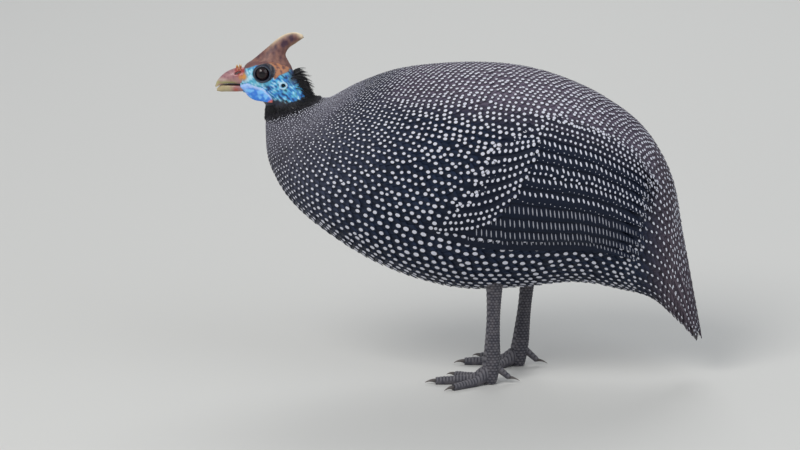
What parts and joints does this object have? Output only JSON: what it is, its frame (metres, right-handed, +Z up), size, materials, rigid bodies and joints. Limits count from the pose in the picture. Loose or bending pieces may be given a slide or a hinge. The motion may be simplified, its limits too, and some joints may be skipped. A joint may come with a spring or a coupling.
{
  "type": "guinea fowl",
  "caption": "Life-size still model of a helmeted guinea fowl, standing hunched with drawn-in neck, folded wings and drooping tail.",
  "frame": {"origin": "centre of the bounding box's base, on the ground under the soles", "axes": "+X towards the tail, -X is where the bird faces, +Y is its right side, +Z up"},
  "size_m": [0.4506, 0.1648, 0.3232],
  "materials": {
    "plumage": "feathers: blue-black to brownish grey with many small white spots",
    "bare_skin": "bare blue skin, paler round the eye",
    "wattle": "thin bare blue fold with a red edge at its tip",
    "horn": "dull brown horn, cream at the ridge",
    "bill": "smooth pinkish horn with a pale tip",
    "eye": "glossy, nearly black",
    "leg": "dark slate scales",
    "claw": "dull dark horn"
  },
  "bodies": {
    "root": {"neck": "plumage", "torso": "plumage", "tail": "plumage", "wing_left": "plumage", "wing_right": "plumage", "head": "bare_skin", "eye_left": "eye", "eye_right": "eye", "casque": "horn", "bill_upper": "bill", "bill_lower": "bill", "wattle_left": "wattle", "wattle_right": "wattle", "thigh_left": "plumage", "tarsus_left": "leg", "foot_left": "leg", "toe_inner_left": "leg", "claw_inner_left": "claw", "toe_middle_left": "leg", "claw_middle_left": "claw", "toe_outer_left": "leg", "claw_outer_left": "claw", "toe_hind_left": "leg", "claw_hind_left": "claw", "thigh_right": "plumage", "tarsus_right": "leg", "foot_right": "leg", "toe_inner_right": "leg", "claw_inner_right": "claw", "toe_middle_right": "leg", "claw_middle_right": "claw", "toe_outer_right": "leg", "claw_outer_right": "claw", "toe_hind_right": "leg", "claw_hind_right": "claw"}
  },
  "joints": []
}
